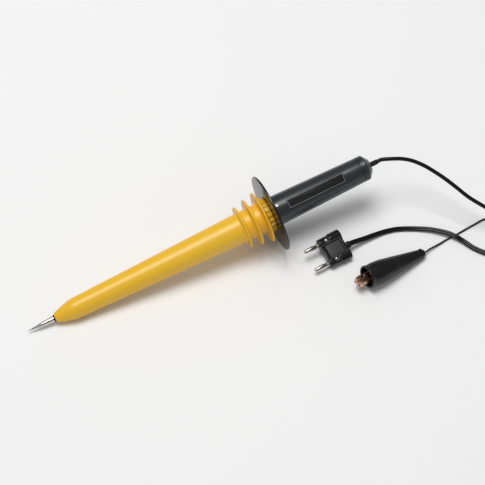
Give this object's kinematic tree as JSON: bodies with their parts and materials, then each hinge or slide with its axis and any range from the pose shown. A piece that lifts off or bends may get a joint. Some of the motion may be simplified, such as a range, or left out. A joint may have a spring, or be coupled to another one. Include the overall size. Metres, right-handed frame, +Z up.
{
  "type": "high-voltage test probe",
  "caption": "Long yellow insulated test probe with guard rings and a black guard disc, a grey handle, and a cable to a double banana plug and a booted ground clip.",
  "frame": {"origin": "centre of the probe's own box, without its cords, on the surface that it lies on", "axes": "+X from the tip towards the handle, +Z up"},
  "size_m": [0.4955, 0.192, 0.0723],
  "materials": {
    "yellow_plastic": "glossy satin moulded yellow plastic",
    "disc_black": "polished black plastic",
    "handle_grey": "satin dark grey moulded plastic",
    "label_black": "satin black plate, bare",
    "plug_black": "black moulded plastic",
    "cover_grey": "fine textured grey plastic",
    "nickel": "polished nickel plate",
    "black_metal": "blackened brass",
    "copper": "copper plate on pressed metal",
    "steel": "bright spring steel",
    "brass": "turned brass",
    "resistor_green": "glazed ceramic",
    "insulator_white": "natural insulating plastic",
    "board_green": "circuit board laminate",
    "trimmer_blue": "blue moulded plastic",
    "boot_vinyl": "soft black vinyl",
    "cord_vinyl": "flexible black vinyl",
    "wire_red": "red insulated wire"
  },
  "bodies": {
    "root": {"barrel_shell": "yellow_plastic", "barrel_collar": "yellow_plastic", "guard_disc": "disc_black", "handle_shell": "handle_grey", "handle_end_cap": "handle_grey", "label_plate": "label_black", "plug_body": "plug_black", "plug_strain_relief": "plug_black", "breakout_yoke": "plug_black", "plug_cover": "cover_grey", "probe_tip": "nickel", "banana_pin_near": "nickel", "banana_pin_far": "nickel", "pin_spring_near": "nickel", "pin_spring_far": "nickel", "set_screw_near": "nickel", "set_screw_far": "nickel", "handle_screw": "nickel", "tip_bushing": "black_metal", "clip_fixed_jaw": "copper", "contact_spring": "steel", "clip_rivet": "steel", "clip_spring": "steel", "clip_terminal_screw": "steel", "resistor_front_cap": "brass", "resistor_rear_cap": "brass", "hv_resistor": "resistor_green", "divider_resistor": "resistor_green", "resistor_spacer_front": "insulator_white", "resistor_spacer_rear": "insulator_white", "coupling_stub": "insulator_white", "divider_board": "board_green", "calibration_trimmer": "trimmer_blue", "clip_boot": "boot_vinyl", "cable_gland": "cord_vinyl", "handle_cable": "cord_vinyl", "handle_cable_coil": "cord_vinyl", "cable_tie": "cord_vinyl", "plug_cable": "cord_vinyl", "ground_lead": "cord_vinyl", "ground_lead_coil": "cord_vinyl", "lead_tie": "cord_vinyl", "clip_wire": "cord_vinyl", "shield_wire": "cord_vinyl", "hv_wire": "wire_red", "signal_wire": "wire_red"},
    "clip_jaw": {"clip_moving_jaw": "copper"}
  },
  "joints": [
    {"name": "clip_jaw_hinge", "type": "hinge", "parent": "root", "child": "clip_jaw", "pos_m": [0.12773, -0.08471, 0.00959], "axis": [-0.1338, -0.0101, -0.991], "range_deg": [0, 18], "stiffness_Nm_per_rad": 0.05, "springref_deg": -34.38, "deforming": ["clip_spring"]}
  ]
}
